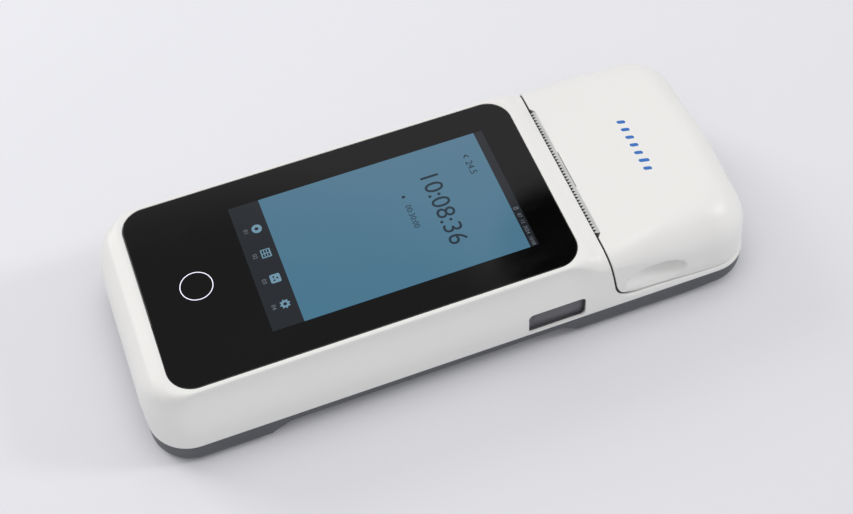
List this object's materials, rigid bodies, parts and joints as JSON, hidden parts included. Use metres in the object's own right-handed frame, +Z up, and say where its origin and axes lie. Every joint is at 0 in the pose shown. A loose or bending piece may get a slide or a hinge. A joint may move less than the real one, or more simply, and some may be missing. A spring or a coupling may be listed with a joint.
{
  "type": "handheld payment terminal",
  "caption": "Handheld terminal with a large touch glass, a round touch key, a lift-up receipt printer cover with a tear blade, a side slot with a sprung flap and hand-grip recesses.",
  "frame": {"origin": "under the middle of the case, on the surface that the rubber feet stand on", "axes": "+X to the reader's right, +Y from the user towards the printer end, +Z up out of the touch glass"},
  "size_m": [0.1006, 0.258, 0.046],
  "materials": {
    "shell_white": "fine satin texture",
    "shell_grey": "fine matte texture",
    "touch_glass": "black-printed gloss",
    "display": "lit screen",
    "gasket": "matte",
    "light_guide": "clear",
    "frame_metal": "satin",
    "circuit_board": "solder mask",
    "shield_steel": "satin",
    "chip_black": "matte",
    "brass": "satin",
    "steel": "satin",
    "blade_steel": "satin",
    "battery_wrap": "shrink wrap",
    "rubber_black": "matte",
    "slot_dark": "satin",
    "inner_black": "matte",
    "chassis_steel": "satin",
    "gear_plastic": "satin",
    "ceramic": "glazed",
    "paper": "smooth thermal paper",
    "core_card": "card"
  },
  "bodies": {
    "housing": {"battery_cover": "shell_grey", "battery_cover_screws": "steel", "battery_pack": "battery_wrap", "board_chips": "chip_black", "board_screws": "steel", "board_spacers": "brass", "bottom_shell": "shell_grey", "button_board": "circuit_board", "button_switch": "chip_black", "card_sleeve": "inner_black", "case_screws": "steel", "charging_port": "shield_steel", "display_frame": "frame_metal", "flap_pin": "steel", "flap_spring": "steel", "glass_gasket": "gasket", "head_pivot_pin": "steel", "head_springs": "steel", "hinge_pins": "steel", "idler_pin": "steel", "io_board": "circuit_board", "lcd_module": "display", "main_board": "circuit_board", "motor_screws": "steel", "paper_sensor": "chip_black", "paper_tray": "inner_black", "printer_frame": "chassis_steel", "printer_screws": "steel", "reader_contacts": "brass", "reader_module": "inner_black", "rubber_feet": "rubber_black", "shield_cans": "shield_steel", "slot_bezel": "slot_dark", "speaker": "chip_black", "stepper_motor": "chassis_steel", "top_shell": "shell_white", "touch_glass": "touch_glass", "touch_key_board": "circuit_board", "touch_key_light": "light_guide"},
    "cover": {"printer_cover": "shell_white", "tear_blade": "blade_steel", "platen_bushings": "brass"},
    "platen": {"platen_shaft": "steel", "platen_rubber": "rubber_black", "platen_gear": "gear_plastic"},
    "idler": {"idler_gear": "gear_plastic"},
    "motor_rotor": {"motor_shaft": "steel", "motor_pinion": "gear_plastic"},
    "head": {"print_head": "ceramic", "head_heatsink": "frame_metal"},
    "roll": {"paper_roll": "paper", "paper_core": "core_card"},
    "flap": {"slot_flap": "slot_dark"},
    "button": {"power_button": "shell_white"}
  },
  "joints": [
    {"name": "cover_hinge", "type": "hinge", "parent": "housing", "child": "cover", "pos_m": [0, 0.127, 0.0162], "axis": [-1, 0, 0], "range_deg": [0, 90]},
    {"name": "platen_spin", "type": "hinge", "parent": "cover", "child": "platen", "pos_m": [0, 0.0669, 0.036], "axis": [1, 0, 0], "continuous": true},
    {"name": "idler_spin", "type": "hinge", "parent": "housing", "child": "idler", "pos_m": [0, 0.06315, 0.0246], "axis": [1, 0, 0], "continuous": true},
    {"name": "motor_spin", "type": "hinge", "parent": "housing", "child": "motor_rotor", "pos_m": [0, 0.07293, 0.02252], "axis": [1, 0, 0], "continuous": true},
    {"name": "roll_spin", "type": "hinge", "parent": "housing", "child": "roll", "pos_m": [0, 0.101, 0.024], "axis": [1, 0, 0], "continuous": true},
    {"name": "head_tilt", "type": "hinge", "parent": "housing", "child": "head", "pos_m": [0, 0.06, 0.0255], "axis": [1, 0, 0], "range_deg": [0, 2.5], "stiffness_Nm_per_rad": 0.1, "springref_deg": -11.46, "deforming": ["head_springs"]},
    {"name": "flap_hinge", "type": "hinge", "parent": "housing", "child": "flap", "pos_m": [0.0467, 0.0394, 0.0229], "axis": [0, 1, 0], "range_deg": [0, 85], "stiffness_Nm_per_rad": 0.0003, "springref_deg": -17.19},
    {"name": "button_press", "type": "slide", "parent": "housing", "child": "button", "axis": [1, 0, 0], "range_m": [0, 0.0005], "stiffness_N_per_m": 60}
  ],
  "couplings": [
    {"joint": "idler_spin", "follows": "platen_spin", "ratio": -0.71429},
    {"joint": "motor_spin", "follows": "platen_spin", "ratio": 1.6667}
  ]
}
